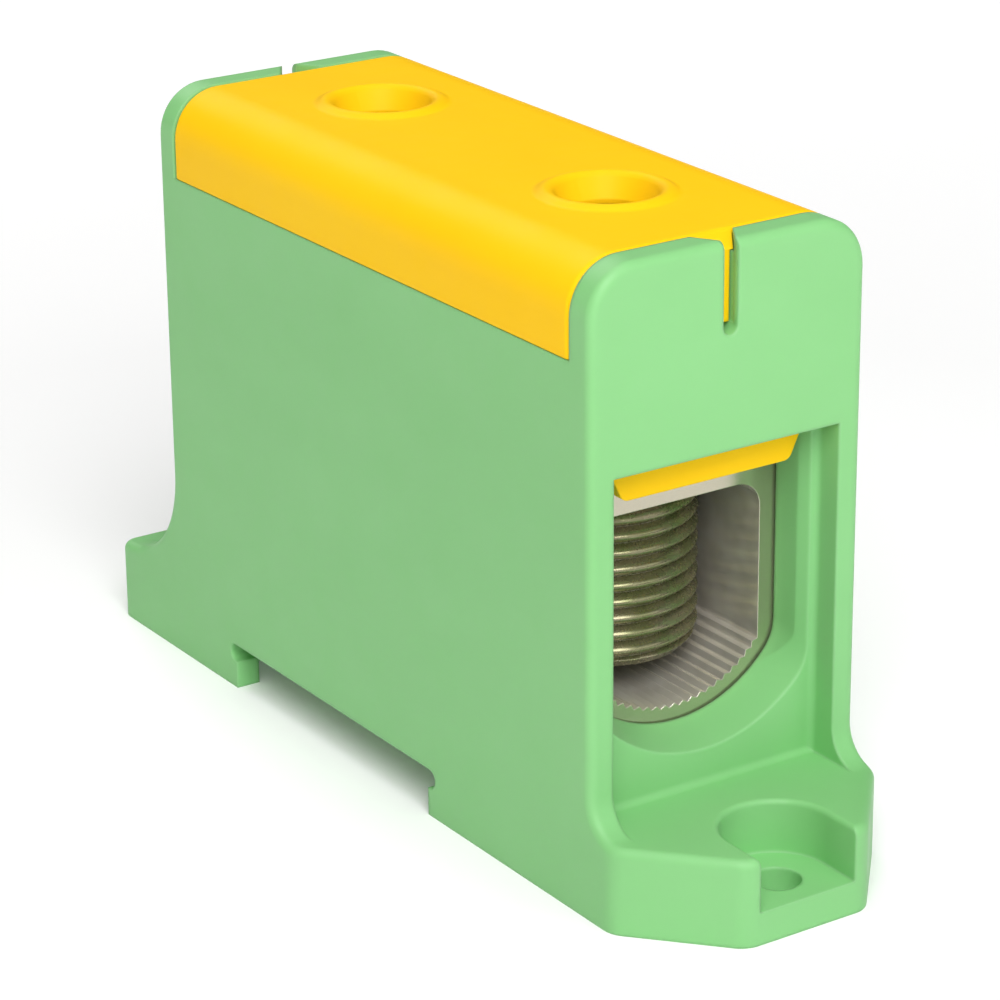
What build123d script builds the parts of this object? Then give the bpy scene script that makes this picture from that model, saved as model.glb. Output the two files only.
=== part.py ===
from build123d import *
from math import asin, cos, sin, sqrt
import os

# Earth terminal block for one pair of heavy conductors, for a 35 mm rail or two base screws.
# X runs across the block, Y along the conductors and Z up from the mounting surface.
# The origin is on the mounting surface, in the middle of the block.

# Outer form of the housing
width = 28.0
body_length = 69.9
height = 57.0
top_corner = 4.6
edge_round = 0.8

# Mounting feet
foot_length = 11.65
foot_thickness = 7.9
taper_setback = 3.05
front_foot_width = 12.5
taper_corner = 2.5
rear_corner = 1.5
front_gusset_round = 3.2
rear_foot_land = 1.05

# Screw pocket in each foot
pocket_radius = 5.0
pocket_setback = 4.2
pocket_floor = 3.0
pocket_edge = 0.4
mounting_hole = 4.2

# Walls of the housing
side_wall = 2.4
end_panel = 2.85
skirt_slot = 1.15
slot_sink = 0.3
entry_wall = 3.0
entry_wall_drop = 2.2
floor_height = 10.9
floor_thickness = 3.0
panel_height = 18.0

# Wire entry in the inner end wall
entry_rim_side = 1.55
entry_rim_floor = 1.45
entry_knee_round = 4.0
entry_root_round = 0.6
flare_depth = 1.2
flare_side = 0.5
flare_side_length = 1.15

# Rail notch under the housing
rail_mouth = 33.7
rail_middle = 6.7
rail_grip = 1.1
hook_height = 2.65
rail_gap = 1.85
rail_gap_round = 0.9

# Slot in each end panel, with the flared mouth that takes the cover's nose
slot_width = 1.5
slot_depth = 8.0
slot_step = 0.1
slot_front_land = 0.7
mouth_root = 4.4
mouth_tip = 1.7
mouth_reach = 2.1
mouth_depth = 1.3

# Cover
cover_height = 8.3
roof = 2.2
cover_side = 2.2
cover_gap = 0.08
nose_gap = 0.1
nose_fall = 1.1
rib_width = 1.4
rib_reach = 1.7
cover_edge = 0.6
cover_line_edge = 0.25
skirt_width = 19.2
skirt_drop = 3.5
skirt_taper = 1.0
skirt_taper_height = 2.1
skirt_corner = 0.9
ring_radius = 6.2
ring_height = 0.7
ring_crest = 4.9
ring_round = 0.8
key_hole = 7.2
funnel_depth = 1.75

# Terminal body
body_side_gap = 0.3
body_end_gap = 0.2
body_floor = 2.85
body_corner = 1.2
bore_width = 17.8
bore_lip_gap = 3.15
bore_floor_radius = 11.15
bore_corner = 2.4
tooth_depth = 0.35
tooth_count = 22
thread_length = 11.6

# Clamp screws
screw_diameter = 16.0
screw_roof_gap = 0.45
screw_setback = 10.1
screw_chamfer = 1.4
screw_top_chamfer = 0.8
thread_gap = 0.05
tip_gap = 0.6
socket_flats = 6.0
socket_depth = 8.0

# How far a point may be from a level and still count as on it
near = 0.01

# Places that follow from the sizes above
half_width = width / 2
half_body = body_length / 2
foot_reach = half_body + foot_length
taper_start = half_body + taper_setback
cover_line = height - cover_height
panel_edge = height - panel_height
lip_bottom = panel_edge - skirt_drop
inner_half_width = half_width - side_wall
panel_inner = half_body - end_panel
entry_outer = panel_inner - skirt_slot
entry_inner = entry_outer - entry_wall
bore_bottom = floor_height + body_floor
bore_top = lip_bottom - bore_lip_gap
arc_height = bore_bottom + bore_floor_radius
screw_radius = screw_diameter / 2
tip_radius = screw_radius - screw_chamfer
tip_height = arc_height - sqrt(bore_floor_radius**2 - tip_radius**2) + tip_gap
pocket_centre = foot_reach - pocket_setback
slot_bottom = height - slot_depth
cover_half_length = panel_inner - cover_gap
body_half_length = entry_inner - body_end_gap
screw_length = height - roof - screw_roof_gap - bore_top
screw_spacing = 2 * (body_half_length - screw_setback)
entry_half = bore_width / 2 + entry_rim_side
entry_radius = bore_floor_radius + entry_rim_floor


def entry_outline(plane, half, floor_radius):
    """Wire entry with its floor on an arc and its flat top level with the edge of the end panel."""
    knee = arc_height - sqrt(floor_radius**2 - half**2)
    with BuildSketch(plane) as outline:
        with BuildLine():
            bowl = ThreePointArc((-half, knee), (0, arc_height - floor_radius), (half, knee))
            Polyline(bowl @ 1, (half, panel_edge), (-half, panel_edge), bowl @ 0)
        make_face()
        knees = [v for v in vertices() if abs(v.Y - knee) < near]
        fillet(knees, radius=entry_knee_round)
    return outline.sketch


def bore_outline(plane):
    """Section of the conductor bore, with the teeth that bite the conductor on its floor."""
    half = bore_width / 2
    half_angle = asin(half / bore_floor_radius)
    points = []
    for step in range(2 * tooth_count + 1):
        angle = half_angle * (step / tooth_count - 1)
        radius = bore_floor_radius + (tooth_depth if step % 2 else 0)
        points.append((radius * sin(angle), arc_height - radius * cos(angle)))
    with BuildSketch(plane) as outline:
        with BuildLine():
            teeth = Polyline(*points)
            Polyline(teeth @ 1, (half, bore_top), (-half, bore_top), teeth @ 0)
        make_face()
        fillet(vertices().group_by(Axis.Y)[-1], radius=bore_corner)
    return outline.sketch


def mouth_outline(plane, reach, shrink):
    """Plan of the flared mouth above the front slot, made smaller by a gap for the cover's nose."""
    inner = panel_inner - skirt_slot / 2
    root_half = mouth_root / 2 - shrink
    end_half = root_half - (mouth_root - mouth_tip) / 2 * reach / mouth_reach
    with BuildSketch(plane) as outline:
        with BuildLine():
            Polyline(
                (-root_half, -inner),
                (-root_half, -panel_inner),
                (-end_half, -panel_inner - reach),
                (end_half, -panel_inner - reach),
                (root_half, -panel_inner),
                (root_half, -inner),
                close=True,
            )
        make_face()
    return outline.sketch


# Flare of the wire entry, as deep as its wall below and only near the wall's face at the sides
with BuildPart() as flare:
    flare_length = panel_inner - entry_inner
    flare_half = entry_half + flare_side
    throat_half = flare_half - flare_side * flare_length / flare_side_length
    throat = entry_outline(Plane.XZ.offset(entry_inner), throat_half, entry_radius)
    lips = entry_outline(Plane.XZ.offset(panel_inner), flare_half, entry_radius + flare_depth)
    loft([throat, lips])
    extrude(lips, amount=entry_root_round)
rear_flare = mirror(flare.part, about=Plane.XZ, mode=Mode.PRIVATE)

# Mouth in the top of the end panel, and the nose of the cover that slopes down into it
with BuildPart() as mouth:
    extrude(mouth_outline(Plane.XY.offset(height - mouth_depth), mouth_reach, 0), amount=height)
rear_mouth = mirror(mouth.part, about=Plane.XZ, mode=Mode.PRIVATE)
with BuildPart() as nose:
    nose_floor = height - mouth_depth + nose_gap
    nose_end = cover_half_length + rib_reach
    nose_plan = mouth_outline(Plane.XY.offset(nose_floor), nose_end - panel_inner, nose_gap)
    extrude(nose_plan, amount=mouth_depth)
    with BuildSketch(Plane.YZ):
        with BuildLine():
            Polyline(
                (0, 0),
                (-nose_end, 0),
                (-nose_end, height - nose_fall),
                (-cover_half_length + cover_edge, height),
                (0, height),
                close=True,
            )
        make_face()
    extrude(amount=mouth_root, both=True, mode=Mode.INTERSECT)
rear_nose = mirror(nose.part, about=Plane.XZ, mode=Mode.PRIVATE)

# Space of a screw pocket, open to the end of the foot, with a soft edge around its top
with BuildPart() as pocket:
    pocket_rim = pocket_radius + 2 * pocket_edge
    for radius, low, high in (
        (pocket_radius, pocket_floor, foot_thickness),
        (pocket_rim, foot_thickness, foot_thickness + pocket_edge),
    ):
        with BuildSketch(Plane.XY.offset(low)):
            with Locations((0, -pocket_centre)):
                Circle(radius)
            with Locations((0, -pocket_centre - pocket_setback)):
                Rectangle(2 * radius, 2 * pocket_setback)
        extrude(amount=high - low)
    soft_edges = []
    for edge in edges():
        at_top = abs(edge.center().Z - foot_thickness) < near
        on_wall = all(abs(abs((edge @ t).X) - pocket_radius) < near for t in (0, 1))
        if at_top and on_wall:
            soft_edges.append(edge)
    fillet(soft_edges, radius=pocket_edge)
rear_pocket = mirror(pocket.part, about=Plane.XZ, mode=Mode.PRIVATE)

# Housing, one moulding
with BuildPart() as housing:
    with BuildSketch(Plane.YZ):
        with BuildLine():
            Polyline(
                (-foot_reach, 0),
                (-foot_reach, foot_thickness),
                (-half_body, foot_thickness),
                (-half_body, height),
                (half_body, height),
                (half_body, foot_thickness),
                (foot_reach, foot_thickness),
                (foot_reach, 0),
                close=True,
            )
        make_face()
        rear_gusset_round = foot_length - rear_foot_land
        for place, radius in ((-half_body, front_gusset_round), (half_body, rear_gusset_round)):
            neck = [v for v in vertices() if abs(v.X - place) < near and v.Y < height / 2]
            fillet(neck, radius=radius)
    extrude(amount=half_width, both=True)
    with BuildSketch(Plane.XZ):
        with Locations((0, height / 2)):
            Rectangle(width, height)
        fillet(vertices().group_by(Axis.Y)[-1], radius=top_corner)
    extrude(amount=2 * foot_reach, both=True, mode=Mode.INTERSECT)
    with BuildSketch(Plane.XY):
        foot_half = front_foot_width / 2
        with BuildLine():
            Polyline(
                (half_width, foot_reach),
                (-half_width, foot_reach),
                (-half_width, -taper_start),
                (-foot_half, -foot_reach),
                (foot_half, -foot_reach),
                (half_width, -taper_start),
                close=True,
            )
        make_face()
        fillet(vertices().group_by(Axis.Y)[-1], radius=rear_corner)
        front_corners = [v for v in vertices() if v.Y < 0]
        fillet(front_corners, radius=taper_corner)
    extrude(amount=height, mode=Mode.INTERSECT)

    # Rounded outer edges of the end faces, the gussets and the feet
    end_edges = []
    for edge in edges():
        centre = edge.center()
        on_end = abs(centre.Y) > half_body - near and centre.Z > foot_thickness - near
        across = abs(edge.tangent_at(0.5).X) > 0.99
        if on_end and not (across and edge_round < centre.Z < height - near
                           and abs(centre.Y) < foot_reach - near):
            end_edges.append(edge)
    fillet(end_edges, radius=edge_round)

    # Room for the cover between the end panels, and the cavity for the terminal body
    with Locations((0, 0, cover_line)):
        Box(2 * width, 2 * panel_inner, height, mode=Mode.SUBTRACT,
            align=(Align.CENTER, Align.CENTER, Align.MIN))
    with Locations((0, 0, floor_height)):
        Box(2 * inner_half_width, 2 * entry_inner, height, mode=Mode.SUBTRACT,
            align=(Align.CENTER, Align.CENTER, Align.MIN))
    with Locations((0, 0, cover_line - entry_wall_drop)):
        Box(2 * inner_half_width, 2 * panel_inner, height, mode=Mode.SUBTRACT,
            align=(Align.CENTER, Align.CENTER, Align.MIN))

    # Hollow underside, with the rail notch cut through the two side walls
    with BuildSketch(Plane.XY):
        Rectangle(2 * inner_half_width, 2 * entry_inner)
    extrude(amount=floor_height - floor_thickness, mode=Mode.SUBTRACT)
    with BuildSketch(Plane.YZ):
        front_hook = rail_middle - rail_mouth / 2
        rear_hook = rail_middle + rail_mouth / 2
        with BuildLine():
            Polyline(
                (front_hook, -hook_height),
                (front_hook, hook_height),
                (front_hook - rail_grip, hook_height),
                (front_hook - rail_grip, hook_height + rail_gap),
                (rear_hook + rail_grip, hook_height + rail_gap),
                (rear_hook + rail_grip, hook_height),
                (rear_hook, hook_height),
                (rear_hook, -hook_height),
                close=True,
            )
        make_face()
        gap_corners = [v for v in vertices() if abs(v.X - rail_middle) > rail_mouth / 2 + near]
        fillet(gap_corners, radius=rail_gap_round)
    extrude(amount=width, both=True, mode=Mode.SUBTRACT)

    # Wire recess, wire entry, screw pocket and slot at both ends
    for end in (-1, 1):
        with Locations((0, end * (panel_inner + foot_reach / 2), foot_thickness)):
            Box(2 * inner_half_width, foot_reach, panel_edge - foot_thickness,
                mode=Mode.SUBTRACT, align=(Align.CENTER, Align.CENTER, Align.MIN))
        roots = [e for e in edges() if abs(e.center().Y - end * panel_inner) < near
                 and foot_thickness - near < e.center().Z < panel_edge - near
                 and (abs(abs(e.center().X) - inner_half_width) < near
                      or e.center().Z < foot_thickness + near)]
        fillet(roots, radius=entry_root_round)
        slot_floor = panel_edge - slot_sink
        with Locations((0, end * (entry_outer + skirt_slot / 2), slot_floor)):
            Box(2 * inner_half_width, skirt_slot, height, mode=Mode.SUBTRACT,
                align=(Align.CENTER, Align.CENTER, Align.MIN))
        entry_plane = Plane.XZ.offset(-end * (entry_inner - entry_wall))
        entry = entry_outline(entry_plane, entry_half, entry_radius)
        extrude(entry, amount=-end * foot_length, mode=Mode.SUBTRACT)
        add(flare.part if end < 0 else rear_flare, mode=Mode.SUBTRACT)
        add(pocket.part if end < 0 else rear_pocket, mode=Mode.SUBTRACT)
        add(mouth.part if end < 0 else rear_mouth, mode=Mode.SUBTRACT)
        with Locations((0, end * pocket_centre, 0)):
            Cylinder(mounting_hole / 2, 4 * pocket_floor, mode=Mode.SUBTRACT)
        with BuildSketch(Plane.XZ.offset(-end * (panel_inner - skirt_slot / 2))):
            with Locations((0, slot_bottom + slot_width / 2)):
                Circle(slot_width / 2)
            with Locations((0, slot_bottom + slot_width / 2 + height / 2)):
                Rectangle(slot_width, height)
        extrude(amount=-end * 2 * end_panel, mode=Mode.SUBTRACT)
        step_length = end_panel - slot_front_land
        with Locations((0, end * (panel_inner + step_length / 2), slot_bottom + slot_width / 2)):
            Box(slot_width + 2 * slot_step, step_length, height, mode=Mode.SUBTRACT,
                align=(Align.CENTER, Align.CENTER, Align.MIN))
housing.part.label = "housing"

# Cover, one moulding
with BuildPart() as cover:
    with BuildSketch(Plane.XZ):
        with Locations((0, height / 2)):
            Rectangle(width, height)
        fillet(vertices().group_by(Axis.Y)[-1], radius=top_corner)
    extrude(amount=cover_half_length, both=True)
    split(bisect_by=Plane.XY.offset(cover_line), keep=Keep.TOP)
    end_edges = [e for e in edges() if abs(e.center().Y) > cover_half_length - near
                 and e.center().Z > cover_line + near]
    fillet(end_edges, radius=cover_edge)
    line_edges = [e for e in edges() if abs(e.center().X) > half_width - near
                  and e.center().Z < cover_line + near]
    fillet(line_edges, radius=cover_line_edge)
    with BuildSketch(Plane.XZ):
        inner_top = height - roof
        with Locations((0, inner_top / 2)):
            Rectangle(width - 2 * cover_side, inner_top)
        fillet(vertices().group_by(Axis.Y)[-1], radius=top_corner - roof)
    extrude(amount=entry_outer, both=True, mode=Mode.SUBTRACT)
    for end in (-1, 1):
        # Skirt that hangs in the slot behind the end panel and shows as a lip below it
        skirt = skirt_slot - 2 * cover_gap
        skirt_height = height - roof / 2 - lip_bottom
        with BuildSketch(Plane.XZ.offset(-end * (cover_half_length - skirt))):
            skirt_half = skirt_width / 2
            with BuildLine():
                Polyline(
                    (-skirt_half, lip_bottom + skirt_height),
                    (-skirt_half, lip_bottom + skirt_taper_height),
                    (-skirt_half + skirt_taper, lip_bottom),
                    (skirt_half - skirt_taper, lip_bottom),
                    (skirt_half, lip_bottom + skirt_taper_height),
                    (skirt_half, lip_bottom + skirt_height),
                    close=True,
                )
            make_face()
            fillet(vertices().group_by(Axis.Y)[0], radius=skirt_corner)
        extrude(amount=-end * skirt)
        # Nose in the mouth of the slot, and the rib below it
        add(nose.part if end < 0 else rear_nose)
        rib_bottom = slot_bottom + slot_width / 2
        rib_length = skirt / 2 + rib_reach
        with Locations((0, end * (cover_half_length + rib_reach - rib_length / 2), rib_bottom)):
            Box(rib_width, rib_length, height - nose_fall - rib_bottom,
                align=(Align.CENTER, Align.CENTER, Align.MIN))
        # Raised ring, and the funnel in it that leads a key to the clamp screw
        middle = end * screw_spacing / 2
        screw_axis = Axis((0, middle, 0), (0, 0, 1))
        with BuildSketch(Plane.YZ):
            with BuildLine():
                Polyline(
                    (middle, height - roof / 2),
                    (middle + ring_radius, height - roof / 2),
                    (middle + ring_radius, height),
                    (middle + ring_crest, height + ring_height),
                    (middle, height + ring_height),
                    close=True,
                )
            make_face()
        revolve(axis=screw_axis)
        with BuildSketch(Plane.YZ):
            hole_half = key_hole / 2
            with BuildLine():
                Polyline(
                    (middle, height + roof),
                    (middle + ring_crest, height + roof),
                    (middle + ring_crest, height + ring_height),
                    (middle + hole_half, height - funnel_depth),
                    (middle + hole_half, height - 2 * roof),
                    (middle, height - 2 * roof),
                    close=True,
                )
            make_face()
        revolve(axis=screw_axis, mode=Mode.SUBTRACT)
    for radius, level in ((ring_crest, height + ring_height), (ring_radius, height)):
        circles = [e for e in edges().filter_by(GeomType.CIRCLE)
                   if abs(e.center().Z - level) < near and abs(e.radius - radius) < near]
        fillet(circles, radius=ring_round)
cover.part.label = "cover"

# Terminal body, a length of extruded section with two tapped holes in its roof
with BuildPart() as terminal_body:
    body_half_width = inner_half_width - body_side_gap
    body_top = bore_top + thread_length
    with BuildSketch(Plane.XZ):
        with Locations((0, (floor_height + body_top) / 2)):
            Rectangle(2 * body_half_width, body_top - floor_height)
        fillet(vertices(), radius=body_corner)
    extrude(amount=body_half_length, both=True)
    extrude(bore_outline(Plane.XZ), amount=2 * body_half_length, both=True, mode=Mode.SUBTRACT)
    with BuildSketch(Plane.XY.offset(bore_top - bore_corner)):
        with GridLocations(0, screw_spacing, 1, 2):
            Circle(screw_radius + thread_gap)
    extrude(amount=thread_length + 2 * bore_corner, mode=Mode.SUBTRACT)
terminal_body.part.label = "terminal_body"


def clamp_screw(middle):
    """One headless clamp screw, driven down until its tip is close above the bore's floor."""
    with BuildPart() as screw:
        with BuildSketch(Plane.XY.offset(tip_height)):
            with Locations((0, middle)):
                Circle(screw_radius)
        extrude(amount=screw_length)
        ends = edges().filter_by(GeomType.CIRCLE).sort_by(Axis.Z)
        chamfer(ends[:1], length=screw_chamfer)
        top_rim = edges().filter_by(GeomType.CIRCLE).sort_by(Axis.Z)
        chamfer(top_rim[-1:], length=screw_top_chamfer)
        with BuildSketch(Plane.XY.offset(tip_height + screw_length - socket_depth)):
            with Locations((0, middle)):
                RegularPolygon(socket_flats / 2, 6, major_radius=False)
        extrude(amount=2 * socket_depth, mode=Mode.SUBTRACT)
    return screw


front_clamp_screw = clamp_screw(-screw_spacing / 2)
front_clamp_screw.part.label = "front_clamp_screw"
rear_clamp_screw = clamp_screw(screw_spacing / 2)
rear_clamp_screw.part.label = "rear_clamp_screw"

os.makedirs("parts", exist_ok=True)
export_step(housing.part, "parts/housing.step")
export_step(cover.part, "parts/cover.step")
export_step(terminal_body.part, "parts/terminal_body.step")
export_step(front_clamp_screw.part, "parts/front_clamp_screw.step")
export_step(rear_clamp_screw.part, "parts/rear_clamp_screw.step")
screw_travel = bore_top - tip_height
print("screw tip at", round(tip_height, 3), "and its travel", round(screw_travel, 3))
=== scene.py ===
import math

import bmesh
import bpy
from mathutils import Matrix, Vector


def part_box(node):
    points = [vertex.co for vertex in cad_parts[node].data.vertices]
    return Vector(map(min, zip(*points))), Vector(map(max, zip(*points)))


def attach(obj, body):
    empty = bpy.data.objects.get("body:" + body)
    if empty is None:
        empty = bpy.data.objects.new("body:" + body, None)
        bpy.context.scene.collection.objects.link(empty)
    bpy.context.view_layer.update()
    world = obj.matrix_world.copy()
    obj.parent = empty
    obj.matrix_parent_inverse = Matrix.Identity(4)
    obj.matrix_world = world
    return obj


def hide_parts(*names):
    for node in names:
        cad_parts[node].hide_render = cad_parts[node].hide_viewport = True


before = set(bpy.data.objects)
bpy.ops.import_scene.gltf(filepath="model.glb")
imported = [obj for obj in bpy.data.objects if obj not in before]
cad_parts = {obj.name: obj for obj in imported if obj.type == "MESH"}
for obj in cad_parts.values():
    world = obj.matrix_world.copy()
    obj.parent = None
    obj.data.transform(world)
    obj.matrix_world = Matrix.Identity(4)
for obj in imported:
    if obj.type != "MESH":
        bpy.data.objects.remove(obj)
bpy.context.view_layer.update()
mm = 0.001

# How the block is seen: the camera's place and angles were fitted to the photograph
cameraView = {
    "place": (-174.148 * mm, -261.826 * mm, 145.112 * mm),
    "azimuth": -33.738,
    "elevation": 21.119,
    "roll": -0.517,
    "lens": 133.73,
    "sensor": 36.0,
    "nearest": 10 * mm,
}

# Plain studio: a pale floor, a white sky that gives little light, and six large soft lamps
studio = {
    "floorRadius": 2.5,
    "floorSides": 96,
    "floorColour": (0.93, 0.93, 0.93),
    "floorRoughness": 0.9,
    "nearGlow": (0.08, 0.08, 0.08, 1.0),
    "farGlow": (1.0, 1.0, 1.0, 1.0),
    "glowStart": 120 * mm,
    "glowEnd": 900 * mm,
    "skyColour": (1.0, 1.0, 1.0),
    "skyStrength": 0.05,
    "skySeen": 1.0,
    "target": (0.0, 0.0, 28 * mm),
    "lampDistance": 900 * mm,
    "lamps": {
        "keyLamp": {"azimuth": -30, "elevation": 45, "size": 600 * mm, "power": 6.9,
                    "colour": (1.0, 1.0, 1.0)},
        "topLamp": {"azimuth": 0, "elevation": 88, "size": 500 * mm, "power": 2.3,
                    "colour": (1.0, 1.0, 1.0)},
        "frontLamp": {"azimuth": -10, "elevation": 20, "size": 500 * mm, "power": 0.9,
                      "colour": (1.0, 1.0, 1.0)},
        "fillLamp": {"azimuth": 20, "elevation": 30, "size": 500 * mm, "power": 1.0,
                     "colour": (1.0, 1.0, 1.0)},
        "warmLamp": {"azimuth": -90, "elevation": 20, "size": 500 * mm, "power": 0.15,
                     "colour": (1.0, 0.60, 0.10)},
        "backLamp": {"azimuth": 175, "elevation": 40, "size": 600 * mm, "power": 2.0,
                     "colour": (1.0, 1.0, 1.0)},
    },
}


def addNode(tree, kind, place, **values):
    node = tree.nodes.new(kind)
    node.location = place
    for name, value in values.items():
        if name in node.inputs:
            node.inputs[name].default_value = value
        else:
            setattr(node, name, value)
    return node


def startGroup(name, inputs, outputs):
    tree = bpy.data.node_groups.new(name, "ShaderNodeTree")
    for label, kind, value in inputs:
        socket = tree.interface.new_socket(label, in_out="INPUT", socket_type=kind)
        socket.default_value = value
    for label, kind in outputs:
        tree.interface.new_socket(label, in_out="OUTPUT", socket_type=kind)
    source = tree.nodes.new("NodeGroupInput")
    source.location = (-1200, 0)
    sink = tree.nodes.new("NodeGroupOutput")
    sink.location = (900, 0)
    return tree, source.outputs, sink.inputs


def join(tree, source, sink):
    tree.links.new(source, sink)


def scaleBy(tree, value, factor, place):
    node = addNode(tree, "ShaderNodeMath", place, operation="MULTIPLY")
    join(tree, value, node.inputs[0])
    if isinstance(factor, (int, float)):
        node.inputs[1].default_value = factor
    else:
        join(tree, factor, node.inputs[1])
    return node.outputs[0]


def noiseOver(tree, coordinates, size, place, detail=3.0, stretch=(1.0, 1.0, 1.0)):
    # size is the width of one patch in metres
    mapping = addNode(tree, "ShaderNodeMapping", (place[0] - 200, place[1]))
    mapping.inputs["Scale"].default_value = [s / size for s in stretch]
    join(tree, coordinates, mapping.inputs["Vector"])
    noise = addNode(tree, "ShaderNodeTexNoise", place, Scale=1.0, Detail=detail, Roughness=0.55)
    join(tree, mapping.outputs["Vector"], noise.inputs["Vector"])
    return noise.outputs["Fac"]


def blendColours(tree, mask, first, second, place):
    mix = addNode(tree, "ShaderNodeMix", place, data_type="RGBA")
    join(tree, mask, mix.inputs[0])
    for value, socket in ((first, mix.inputs[6]), (second, mix.inputs[7])):
        if isinstance(value, tuple):
            socket.default_value = value
        else:
            join(tree, value, socket)
    return mix.outputs[2]


def spread(tree, value, low, high, place, noiseRange=(0.3, 0.7)):
    # Noise mostly lies in noiseRange, which is drawn out to run from low to high
    node = addNode(tree, "ShaderNodeMapRange", place)
    join(tree, value, node.inputs["Value"])
    node.inputs["From Min"].default_value, node.inputs["From Max"].default_value = noiseRange
    for name, limit in (("To Min", low), ("To Max", high)):
        if isinstance(limit, (int, float)):
            node.inputs[name].default_value = limit
        else:
            join(tree, limit, node.inputs[name])
    return node.outputs["Result"]


def makeSoftEdges():
    # Rounds the look of a sharp edge, and marks where the edge is, as the mask for a painted
    # highlight along edges
    tree, given, out = startGroup(
        "softEdges",
        [("Radius", "NodeSocketFloat", 0.3 * mm), ("Strength", "NodeSocketFloat", 4.0)],
        [("Normal", "NodeSocketVector"), ("Edge", "NodeSocketFloat")],
    )
    bevel = addNode(tree, "ShaderNodeBevel", (-800, 100), samples=6)
    join(tree, given["Radius"], bevel.inputs["Radius"])
    geometry = addNode(tree, "ShaderNodeNewGeometry", (-800, -150))
    dot = addNode(tree, "ShaderNodeVectorMath", (-500, 0), operation="DOT_PRODUCT")
    join(tree, bevel.outputs["Normal"], dot.inputs[0])
    join(tree, geometry.outputs["Normal"], dot.inputs[1])
    away = addNode(tree, "ShaderNodeMath", (-300, 0), operation="SUBTRACT", use_clamp=True)
    away.inputs[0].default_value = 1.0
    join(tree, dot.outputs["Value"], away.inputs[1])
    edge = scaleBy(tree, away.outputs[0], given["Strength"], (-100, 0))
    clamp = addNode(tree, "ShaderNodeClamp", (100, 0))
    join(tree, edge, clamp.inputs["Value"])
    join(tree, bevel.outputs["Normal"], out["Normal"])
    join(tree, clamp.outputs["Result"], out["Edge"])
    return tree


# Widths of one patch of each effect, and the shares in which they are mixed
skinPatches = {"grain": 0.28 * mm, "marks": 5 * mm, "flow": 26 * mm,
               "flowStretch": (1.0, 0.5, 1.4), "edgeHighlightShare": 0.55, "marksShare": 0.6}


def makeMouldedSkin():
    # Fine spark-eroded grain, slow flow shades and slight handling marks of a moulding, with a
    # painted highlight along edges
    tree, given, out = startGroup(
        "mouldedSkin",
        [
            ("Colour", "NodeSocketColor", (0.5, 0.5, 0.5, 1.0)),
            ("Shade", "NodeSocketColor", (0.4, 0.4, 0.4, 1.0)),
            ("Edge Colour", "NodeSocketColor", (0.7, 0.7, 0.7, 1.0)),
            ("Edge", "NodeSocketFloat", 0.0),
            ("Smooth", "NodeSocketFloat", 0.36),
            ("Rough", "NodeSocketFloat", 0.5),
        ],
        [
            ("Colour", "NodeSocketColor"),
            ("Roughness", "NodeSocketFloat"),
            ("Height", "NodeSocketFloat"),
        ],
    )
    coordinates = addNode(tree, "ShaderNodeTexCoord", (-1200, -400)).outputs["Object"]
    grain = noiseOver(tree, coordinates, skinPatches["grain"], (-700, -300), detail=2.0)
    flow = noiseOver(tree, coordinates, skinPatches["flow"], (-700, 300),
                     stretch=skinPatches["flowStretch"])
    marks = noiseOver(tree, coordinates, skinPatches["marks"], (-700, 0), detail=4.0)
    shaded = blendColours(tree, spread(tree, flow, 0.0, 1.0, (-400, 300)),
                          given["Colour"], given["Shade"], (-100, 300))
    # Painted highlight: the edge mask blends a lighter colour into the edges
    edgeHighlightMask = scaleBy(tree, given["Edge"], skinPatches["edgeHighlightShare"], (-100, 100))
    edgeHighlighted = blendColours(tree, edgeHighlightMask, shaded, given["Edge Colour"], (200, 300))
    roughness = spread(tree, marks, given["Smooth"], given["Rough"], (-400, 0))
    mixed = addNode(tree, "ShaderNodeMath", (-100, -300), operation="MULTIPLY_ADD")
    join(tree, marks, mixed.inputs[0])
    mixed.inputs[1].default_value = skinPatches["marksShare"]
    join(tree, grain, mixed.inputs[2])
    join(tree, edgeHighlighted, out["Colour"])
    join(tree, roughness, out["Roughness"])
    join(tree, mixed.outputs[0], out["Height"])
    return tree


metalPatches = {"lines": 0.22 * mm, "stains": 2.6 * mm}


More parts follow.
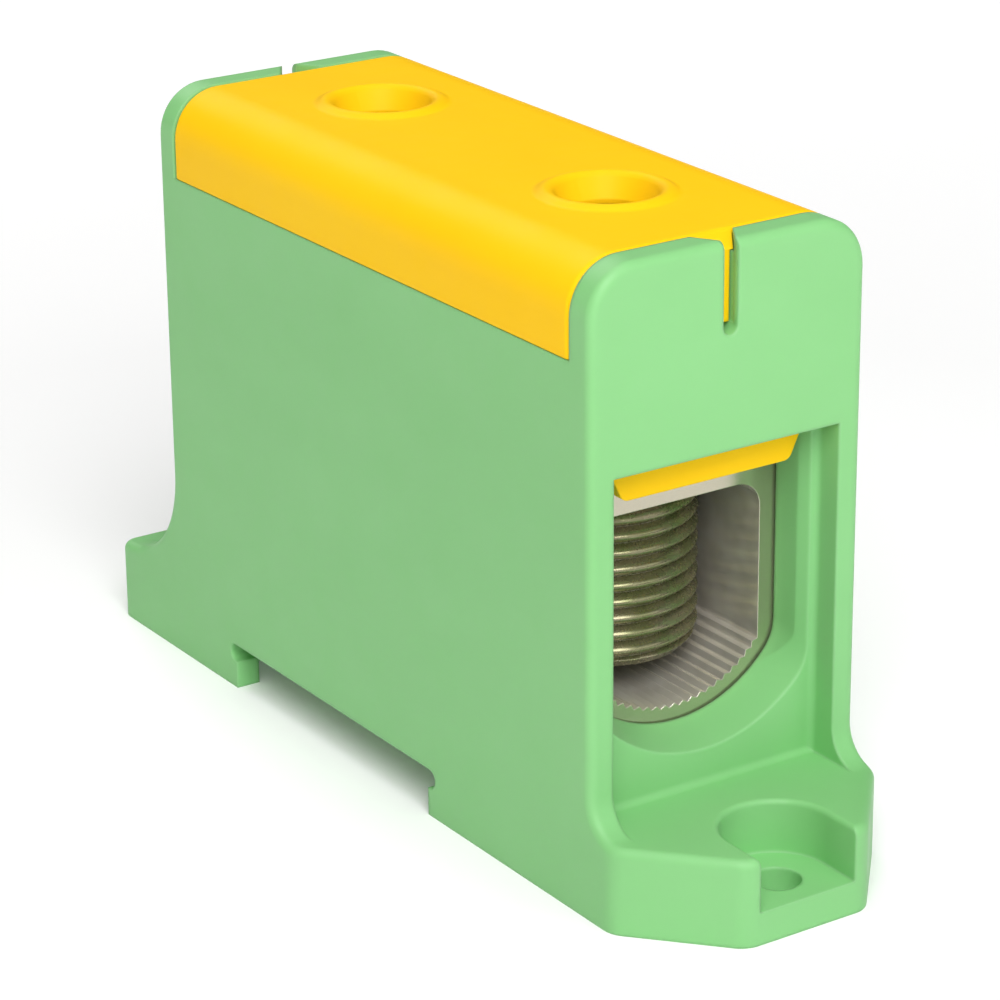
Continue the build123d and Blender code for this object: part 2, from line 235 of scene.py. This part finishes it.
def makeWorkedMetal():
    # Drawing and cutting lines, stains of the plating and a painted highlight along edges
    tree, given, out = startGroup(
        "workedMetal",
        [
            ("Colour", "NodeSocketColor", (0.7, 0.7, 0.7, 1.0)),
            ("Stain", "NodeSocketColor", (0.5, 0.5, 0.45, 1.0)),
            ("Edge Colour", "NodeSocketColor", (0.9, 0.9, 0.9, 1.0)),
            ("Edge", "NodeSocketFloat", 0.0),
            ("Lines", "NodeSocketVector", (1.0, 0.05, 1.0)),
            ("Smooth", "NodeSocketFloat", 0.2),
            ("Rough", "NodeSocketFloat", 0.4),
        ],
        [
            ("Colour", "NodeSocketColor"),
            ("Roughness", "NodeSocketFloat"),
            ("Height", "NodeSocketFloat"),
        ],
    )
    coordinates = addNode(tree, "ShaderNodeTexCoord", (-1200, -400)).outputs["Object"]
    stretched = addNode(tree, "ShaderNodeVectorMath", (-1000, -300), operation="MULTIPLY")
    join(tree, coordinates, stretched.inputs[0])
    join(tree, given["Lines"], stretched.inputs[1])
    lines = noiseOver(tree, stretched.outputs[0], metalPatches["lines"], (-600, -300))
    stains = noiseOver(tree, coordinates, metalPatches["stains"], (-600, 300), detail=1.0)
    stained = blendColours(tree, spread(tree, stains, 0.0, 1.0, (-300, 300)),
                           given["Colour"], given["Stain"], (0, 300))
    # Painted highlight: the edge mask blends a lighter colour into the edges
    edgeHighlighted = blendColours(tree, given["Edge"], stained, given["Edge Colour"], (300, 300))
    roughness = spread(tree, lines, given["Smooth"], given["Rough"], (-300, 0))
    join(tree, edgeHighlighted, out["Colour"])
    join(tree, roughness, out["Roughness"])
    join(tree, lines, out["Height"])
    return tree


softEdges = makeSoftEdges()
mouldedSkin = makeMouldedSkin()
workedMetal = makeWorkedMetal()
print("shader groups made")


def useGroup(tree, group, place, **values):
    node = addNode(tree, "ShaderNodeGroup", place, node_tree=group)
    for name, value in values.items():
        node.inputs[name.replace("_", " ")].default_value = value
    return node


def finishMaterial(name, look, skinGroup, skinValues):
    # One skin group and one edge group feed a single principled shader
    material = bpy.data.materials.new(name)
    material.use_nodes = True
    tree = material.node_tree
    shader = tree.nodes["Principled BSDF"]
    for socket, value in look["shader"].items():
        shader.inputs[socket].default_value = value
    edges = useGroup(tree, softEdges, (-900, -200), Radius=look["edgeRadius"],
                     Strength=look["edgeHighlightStrength"])
    skin = useGroup(tree, skinGroup, (-600, 100), **skinValues)
    # The edge mask paints a highlight along the edges into the skin colour
    join(tree, edges.outputs["Edge"], skin.inputs["Edge"])
    bump = addNode(tree, "ShaderNodeBump", (-300, -200), Strength=look["bumpStrength"],
                   Distance=look["bumpDepth"])
    join(tree, skin.outputs["Height"], bump.inputs["Height"])
    join(tree, edges.outputs["Normal"], bump.inputs["Normal"])
    join(tree, skin.outputs["Colour"], shader.inputs["Base Color"])
    join(tree, skin.outputs["Roughness"], shader.inputs["Roughness"])
    join(tree, bump.outputs["Normal"], shader.inputs["Normal"])
    return material


def wear(node, material):
    slots = node.material_slots
    if not slots:
        node.data.materials.append(material)
    for place in slots:
        place.material = material


housingLook = {
    "edgeRadius": 0.5 * mm,
    "edgeHighlightStrength": 1.6,
    "bumpStrength": 0.25,
    "bumpDepth": 0.02 * mm,
    "shader": {
        "Specular IOR Level": 0.35,
        "Subsurface Weight": 0.12,
        "Subsurface Scale": 0.8 * mm,
        "Subsurface Radius": (0.5, 1.0, 0.5),
    },
}
greenPlastic = finishMaterial("greenPlastic", housingLook, mouldedSkin, {
    "Colour": (0.238, 0.570, 0.220, 1.0),
    "Shade": (0.222, 0.545, 0.203, 1.0),
    # Colour of the painted highlight along the edges
    "Edge_Colour": (0.42, 0.76, 0.40, 1.0),
    "Smooth": 0.40,
    "Rough": 0.50,
})
wear(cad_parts["housing"], greenPlastic)
print("housing finished")

coverLook = {
    "edgeRadius": 0.25 * mm,
    "edgeHighlightStrength": 2.5,
    "bumpStrength": 0.25,
    "bumpDepth": 0.02 * mm,
    "shader": {"Specular IOR Level": 0.08},
}
yellowPlastic = finishMaterial("yellowPlastic", coverLook, mouldedSkin, {
    "Colour": (1.0, 0.605, 0.007, 1.0),
    "Shade": (1.0, 0.570, 0.005, 1.0),
    # Colour of the painted highlight along the edges
    "Edge_Colour": (1.0, 0.80, 0.06, 1.0),
    "Smooth": 0.42,
    "Rough": 0.52,
})
wear(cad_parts["cover"], yellowPlastic)
print("cover finished")

def makeEndFaces():
    # Splits the faces that look along the bore from the rest, with their own finish
    tree, given, out = startGroup(
        "endFaces",
        [
            ("Facing", "NodeSocketFloat", 0.9),
            ("Colour", "NodeSocketColor", (0.7, 0.7, 0.7, 1.0)),
            ("End Colour", "NodeSocketColor", (0.6, 0.6, 0.6, 1.0)),
            ("Roughness", "NodeSocketFloat", 0.2),
            ("End Roughness", "NodeSocketFloat", 0.2),
            ("Metallic", "NodeSocketFloat", 0.5),
            ("End Metallic", "NodeSocketFloat", 1.0),
        ],
        [
            ("Colour", "NodeSocketColor"),
            ("Roughness", "NodeSocketFloat"),
            ("Metallic", "NodeSocketFloat"),
        ],
    )
    facing = addNode(tree, "ShaderNodeTexCoord", (-1200, -400)).outputs["Normal"]
    parts = addNode(tree, "ShaderNodeSeparateXYZ", (-900, -400))
    join(tree, facing, parts.inputs["Vector"])
    along = addNode(tree, "ShaderNodeMath", (-700, -400), operation="ABSOLUTE")
    join(tree, parts.outputs["Y"], along.inputs[0])
    isEnd = addNode(tree, "ShaderNodeMath", (-500, -400), operation="GREATER_THAN")
    join(tree, along.outputs[0], isEnd.inputs[0])
    join(tree, given["Facing"], isEnd.inputs[1])
    colour = blendColours(tree, isEnd.outputs[0], given["Colour"], given["End Colour"], (0, 300))
    join(tree, colour, out["Colour"])
    for name, place in (("Roughness", (0, 0)), ("Metallic", (0, -300))):
        mix = addNode(tree, "ShaderNodeMix", place, data_type="FLOAT")
        join(tree, isEnd.outputs[0], mix.inputs[0])
        join(tree, given[name], mix.inputs[2])
        join(tree, given["End " + name], mix.inputs[3])
        join(tree, mix.outputs[0], out[name])
    return tree


def polishEnds(material, look):
    # The sawn and faced ends are more mirror-like than the drawn bore
    tree = material.node_tree
    shader = tree.nodes["Principled BSDF"]
    ends = useGroup(tree, makeEndFaces(), (-200, 300), Facing=look["endFacing"],
                    End_Colour=look["endColour"], End_Roughness=look["endRoughness"],
                    Metallic=look["boreMetallic"], End_Metallic=look["endMetallic"])
    for skinName, shaderName in (("Colour", "Base Color"), ("Roughness", "Roughness")):
        join(tree, shader.inputs[shaderName].links[0].from_socket, ends.inputs[skinName])
        join(tree, ends.outputs[skinName], shader.inputs[shaderName])
    join(tree, ends.outputs["Metallic"], shader.inputs["Metallic"])


terminalLook = {
    "edgeRadius": 0.12 * mm,
    "edgeHighlightStrength": 1.5,
    "bumpStrength": 0.08,
    "bumpDepth": 0.015 * mm,
    "shader": {},
    "boreMetallic": 0.68,
    "endMetallic": 0.85,
    "endRoughness": 0.18,
    "endColour": (0.56, 0.52, 0.41, 1.0),
    "endFacing": 0.9,
}
tinPlate = finishMaterial("tinPlate", terminalLook, workedMetal, {
    "Colour": (1.0, 0.95, 0.86, 1.0),
    "Stain": (0.82, 0.77, 0.68, 1.0),
    # Colour of the painted highlight along the edges
    "Edge_Colour": (0.97, 0.95, 0.91, 1.0),
    "Lines": (1.0, 0.04, 1.0),
    "Smooth": 0.09,
    "Rough": 0.20,
})
polishEnds(tinPlate, terminalLook)
wear(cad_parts["terminal_body"], tinPlate)
print("terminal body finished")

screwLook = {
    "edgeRadius": 0.05 * mm,
    "edgeHighlightStrength": 2.0,
    "bumpStrength": 0.0,
    "bumpDepth": 0.01 * mm,
    "shader": {"Metallic": 0.75},
}
zincPlate = finishMaterial("zincPlate", screwLook, workedMetal, {
    "Colour": (0.26, 0.23, 0.15, 1.0),
    "Stain": (0.19, 0.20, 0.09, 1.0),
    # Colour of the painted highlight along the edges
    "Edge_Colour": (0.50, 0.48, 0.38, 1.0),
    "Lines": (0.3, 0.3, 0.3),
    "Smooth": 0.24,
    "Rough": 0.30,
})

# Clamp screw with a real thread, a chamfered tip and a hexagon socket
screwForm = {
    "pitch": 1.5 * mm,
    "crestRadius": 7.96 * mm,
    "rootRadius": 7.14 * mm,
    "crestPower": 1.7,
    "tipChamfer": 1.2 * mm,
    "headChamfer": 0.9 * mm,
    "steps": 120,
    "rowsPerTurn": 14,
    "socketFlats": 6.0 * mm,
    "socketDepth": 8.0 * mm,
    "socketLead": 0.35 * mm,
    "socketMouth": 0.64,  # radius as a share of the flats
    "drillShoulder": 0.30,
    "drillTip": 0.02,
    "drillPoint": 1.4 * mm,
    "shoulderShare": 0.4,  # share of the drill point's depth
    "tipRings": (0.1, 0.5),
    "mergeDistance": 0.002 * mm,
    "slimmestEdge": 0.0005 * mm,
    "sharpAngle": 50,
}


def threadRadius(share, form):
    # share runs from 0 to 1 over one pitch, from groove to groove with the crest halfway
    away = abs((share % 1.0) - 0.5) * 2
    depth = form["crestRadius"] - form["rootRadius"]
    return form["crestRadius"] - depth * away ** form["crestPower"]


def hexRadius(angle, flats):
    sector = math.pi / 3
    return flats / 2 / math.cos((angle + sector / 2) % sector - sector / 2)


def buildScrew(name, node, body):
    form = screwForm
    low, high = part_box(node)
    middle = (low + high) / 2
    steps, rows, pitch = form["steps"], form["rowsPerTurn"], form["pitch"]
    bottom, top = low.z, high.z
    points, faces = [], []

    def ring(radiusAt, heightAt):
        start = len(points)
        for step in range(steps):
            angle = 2 * math.pi * step / steps
            radius = radiusAt(angle)
            points.append((middle.x + radius * math.cos(angle),
                           middle.y + radius * math.sin(angle), heightAt(angle)))
        return start

    tipRadius = form["crestRadius"] - form["tipChamfer"]
    headRadius = form["crestRadius"] - form["headChamfer"]
    rowCount = math.ceil((top - bottom) / pitch + 2) * rows

    def threadHeight(row, angle):
        lift = pitch * (row / rows + angle / (2 * math.pi) - 1)
        return min(max(bottom + lift, bottom), top)

    def threadEdge(row, angle):
        height = threadHeight(row, angle)
        limit = min(tipRadius + height - bottom, headRadius + top - height)
        return min(threadRadius(row / rows, form), limit)

    def bridge(lower, upper, shift=0):
        # The seam joins a ring to the one that lies a whole pitch further on
        for step in range(steps - 1):
            faces.append((lower + step, lower + step + 1, upper + step + 1, upper + step))
        last = steps - 1
        faces.append((lower + last, lower + shift, upper + shift, upper + last))

    threadRings = [ring(lambda a: threadEdge(row, a), lambda a: threadHeight(row, a))
                   for row in range(rowCount + 1)]
    seam = rows * steps
    for row in range(rowCount):
        if row + rows < rowCount:
            bridge(threadRings[row], threadRings[row + 1], seam)
        else:
            bridge(threadRings[row], threadRings[row + 1])
    flats, floorHeight = form["socketFlats"], top - form["socketDepth"]
    shoulderHeight = floorHeight - form["drillPoint"] * form["shoulderShare"]
    tipRings = [ring(lambda a: tipRadius * share, lambda a: bottom) for share in form["tipRings"]]
    bridge(tipRings[0], tipRings[1])
    bridge(tipRings[1], threadRings[0])
    faces.append(tuple(reversed(range(tipRings[0], tipRings[0] + steps))))
    headRings = [
        threadRings[-1],
        ring(lambda a: flats * form["socketMouth"], lambda a: top),
        ring(lambda a: hexRadius(a, flats), lambda a: top - form["socketLead"]),
        ring(lambda a: hexRadius(a, flats), lambda a: floorHeight),
        ring(lambda a: flats * form["drillShoulder"], lambda a: shoulderHeight),
        ring(lambda a: flats * form["drillTip"], lambda a: floorHeight - form["drillPoint"]),
    ]
    for lower, upper in zip(headRings, headRings[1:]):
        bridge(lower, upper)
    faces.append(tuple(range(headRings[-1], headRings[-1] + steps)))
    mesh = bpy.data.meshes.new(name)
    mesh.from_pydata(points, [], faces)
    made = bmesh.new()
    made.from_mesh(mesh)
    bmesh.ops.remove_doubles(made, verts=made.verts, dist=form["mergeDistance"])
    bmesh.ops.dissolve_degenerate(made, edges=made.edges, dist=form["slimmestEdge"])
    bmesh.ops.recalc_face_normals(made, faces=made.faces)
    openEdges = sum(1 for edge in made.edges if len(edge.link_faces) != 2)
    made.to_mesh(mesh)
    made.free()
    mesh.polygons.foreach_set("use_smooth", [True] * len(mesh.polygons))
    mesh.set_sharp_from_angle(angle=math.radians(form["sharpAngle"]))
    screw = bpy.data.objects.new(name, mesh)
    bpy.context.scene.collection.objects.link(screw)
    mesh.materials.append(zincPlate)
    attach(screw, body)
    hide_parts(node)
    print(name, "built with", len(mesh.polygons), "faces and", openEdges, "open edges")


buildScrew("frontScrew", "front_clamp_screw", "front_screw")
buildScrew("rearScrew", "rear_clamp_screw", "rear_screw")


def buildFloor():
    sides, radius = studio["floorSides"], studio["floorRadius"]
    points = [(0.0, 0.0, 0.0)]
    for step in range(sides):
        angle = 2 * math.pi * step / sides
        points.append((radius * math.cos(angle), radius * math.sin(angle), 0.0))
    faces = [(0, step + 1, (step + 1) % sides + 1) for step in range(sides)]
    mesh = bpy.data.meshes.new("floor")
    mesh.from_pydata(points, [], faces)
    floor = bpy.data.objects.new("floor", mesh)
    bpy.context.scene.collection.objects.link(floor)
    material = bpy.data.materials.new("paleFloor")
    material.use_nodes = True
    tree = material.node_tree
    shader = tree.nodes["Principled BSDF"]
    shader.inputs["Base Color"].default_value = (*studio["floorColour"], 1.0)
    shader.inputs["Roughness"].default_value = studio["floorRoughness"]
    # The floor glows more further out, so that the backdrop stays white
    spot = addNode(tree, "ShaderNodeTexCoord", (-900, 0)).outputs["Object"]
    reach = addNode(tree, "ShaderNodeVectorMath", (-700, 0), operation="LENGTH")
    join(tree, spot, reach.inputs[0])
    share = addNode(tree, "ShaderNodeMapRange", (-500, 0))
    join(tree, reach.outputs["Value"], share.inputs["Value"])
    share.inputs["From Min"].default_value = studio["glowStart"]
    share.inputs["From Max"].default_value = studio["glowEnd"]
    glow = blendColours(tree, share.outputs["Result"], studio["nearGlow"], studio["farGlow"],
                        (-250, 0))
    join(tree, glow, shader.inputs["Emission Color"])
    shader.inputs["Emission Strength"].default_value = 1.0
    mesh.materials.append(material)


def towards(azimuth, elevation):
    # Unit vector that points away from the block; azimuth 0 is straight in front of it
    azimuth, elevation = math.radians(azimuth), math.radians(elevation)
    return Vector((math.sin(azimuth) * math.cos(elevation),
                   -math.cos(azimuth) * math.cos(elevation), math.sin(elevation)))


def lightStudio():
    world = bpy.data.worlds.new("studioSky")
    world.use_nodes = True
    tree = world.node_tree
    sky = tree.nodes["Background"]
    sky.inputs["Color"].default_value = (*studio["skyColour"], 1.0)
    # The sky is white to look at, but gives little light
    ray = addNode(tree, "ShaderNodeLightPath", (-500, 0))
    strength = addNode(tree, "ShaderNodeMapRange", (-250, 0))
    join(tree, ray.outputs["Is Camera Ray"], strength.inputs["Value"])
    strength.inputs["To Min"].default_value = studio["skyStrength"]
    strength.inputs["To Max"].default_value = studio["skySeen"]
    join(tree, strength.outputs["Result"], sky.inputs["Strength"])
    bpy.context.scene.world = world
    for name, lamp in studio["lamps"].items():
        light = bpy.data.lights.new(name, "AREA")
        light.shape = "DISK"
        light.size = lamp["size"]
        light.energy = lamp["power"]
        light.color = lamp["colour"]
        item = bpy.data.objects.new(name, light)
        bpy.context.scene.collection.objects.link(item)
        away = towards(lamp["azimuth"], lamp["elevation"])
        item.location = Vector(studio["target"]) + away * studio["lampDistance"]
        item.rotation_euler = away.to_track_quat("Z", "Y").to_euler()


def placeCamera():
    back = towards(cameraView["azimuth"], cameraView["elevation"])
    azimuth, roll = math.radians(cameraView["azimuth"]), math.radians(cameraView["roll"])
    level = Vector((math.cos(azimuth), math.sin(azimuth), 0))
    rise = back.cross(level)
    right = math.cos(roll) * level + math.sin(roll) * rise
    up = math.cos(roll) * rise - math.sin(roll) * level
    camera = bpy.data.cameras.new("photoCamera")
    camera.sensor_fit = "HORIZONTAL"
    camera.sensor_width = cameraView["sensor"]
    camera.lens = cameraView["lens"]
    camera.clip_start = cameraView["nearest"]
    item = bpy.data.objects.new("photoCamera", camera)
    bpy.context.scene.collection.objects.link(item)
    turn = Matrix((right, up, back)).transposed().to_4x4()
    item.matrix_world = Matrix.Translation(cameraView["place"]) @ turn
    bpy.context.scene.camera = item


buildFloor()
lightStudio()
placeCamera()
bpy.context.scene.view_settings.view_transform = "Standard"
print("studio set up")

bpy.context.view_layer.update()
